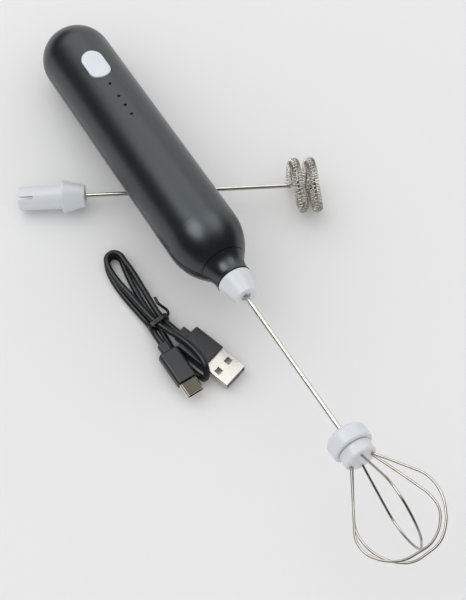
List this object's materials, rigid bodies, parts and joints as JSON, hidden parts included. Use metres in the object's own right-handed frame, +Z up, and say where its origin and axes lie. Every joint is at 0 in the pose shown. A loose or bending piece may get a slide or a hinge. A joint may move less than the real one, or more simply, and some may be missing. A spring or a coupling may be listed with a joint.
{
  "type": "handheld milk frother set",
  "caption": "Rechargeable hand frother with a black capsule handle, a fitted wire balloon whisk, a spare spring-ring head and a folded charging cable.",
  "frame": {"origin": "on the table, under the middle of the box round the handle with its whisk and the spare head, the cable left out", "axes": "+Z up from the table; +Y from the whisk end towards the handle tail across the table; +X towards the whisk, along the spare head rod from its coupling to its spring ring"},
  "size_m": [0.1764, 0.2684, 0.0742],
  "materials": {
    "soft_touch_black": "soft-touch matte black",
    "collar_black": "matte black",
    "button_white": "satin white",
    "lens_dark": "dark smoked lens",
    "head_white": "satin, slightly translucent cool white",
    "stainless_wire": "drawn stainless wire",
    "spring_steel": "fine wound stainless wire",
    "plug_nickel": "bright nickel plate",
    "plug_grip_black": "moulded black",
    "plug_insert_black": "black",
    "cable_black": "satin black jacket",
    "tie_black": "black coated wire",
    "cell_wrap": "shrink wrap",
    "inner_plastic": "dark grey moulding",
    "board_green": "solder mask",
    "motor_steel": "plain steel",
    "motor_magnet": "dark ferrite",
    "contact_metal": "plain",
    "led_clear": "clear",
    "seal_rubber": "black"
  },
  "bodies": {
    "handle": {"handle_top_shell": "soft_touch_black", "handle_bottom_shell": "soft_touch_black", "nose_collar": "collar_black", "tact_switch": "inner_plastic", "light_pipes": "lens_dark", "indicator_leds": "led_clear", "main_board": "board_green", "board_screws": "motor_steel", "battery_cell": "cell_wrap", "battery_tab": "contact_metal", "battery_tray": "inner_plastic", "charge_board": "board_green", "charge_socket": "plug_nickel", "charge_socket_tongue": "plug_insert_black", "motor_can": "motor_steel", "motor_magnets": "motor_magnet", "motor_end_cap": "inner_plastic", "motor_terminals": "contact_metal", "motor_bushes": "contact_metal", "motor_holder": "inner_plastic", "motor_screws": "motor_steel", "splash_seal": "seal_rubber"},
    "button": {"power_button": "button_white", "switch_plunger": "inner_plastic"},
    "drive": {"motor_rotor": "motor_steel", "motor_shaft": "motor_steel", "drive_spindle": "stainless_wire", "drive_pin": "stainless_wire"},
    "whisk": {"whisk_coupling": "head_white", "whisk_rod": "stainless_wire", "whisk_hub_ring": "head_white", "whisk_hub_cap": "head_white", "whisk_loop_1": "stainless_wire", "whisk_loop_2": "stainless_wire", "whisk_loop_3": "stainless_wire"},
    "spare_head": {"spare_coupling": "head_white", "spare_rod": "stainless_wire", "spare_spring_ring": "spring_steel"},
    "cable": {"usb_cable": "cable_black", "usb_a_grip": "plug_grip_black", "usb_a_shell": "plug_nickel", "usb_a_tongue": "plug_insert_black", "usb_c_grip": "plug_grip_black", "usb_c_shell": "plug_nickel", "usb_c_insert": "plug_insert_black", "cable_tie": "tie_black"}
  },
  "joints": [
    {"name": "button_press", "type": "slide", "parent": "handle", "child": "button", "axis": [0.0049, -0.1615, -0.9869], "range_m": [0, 0.0005], "stiffness_N_per_m": 800},
    {"name": "drive_spin", "type": "hinge", "parent": "handle", "child": "drive", "pos_m": [0.00996, -0.00862, 0.03754], "axis": [0.4964, -0.8563, 0.1426], "continuous": true},
    {"name": "whisk_pull", "type": "slide", "parent": "drive", "child": "whisk", "axis": [0.4964, -0.8563, 0.1426], "range_m": [0, 0.025]},
    {"name": "spare_slide", "type": "slide", "parent": "handle", "child": "spare_head", "axis": [-0.9985, -0.0279, -0.0478], "range_m": [0, 0.03]},
    {"name": "cable_lift", "type": "slide", "parent": "handle", "child": "cable", "axis": [0, 0, 1], "range_m": [0, 0.1]}
  ]
}
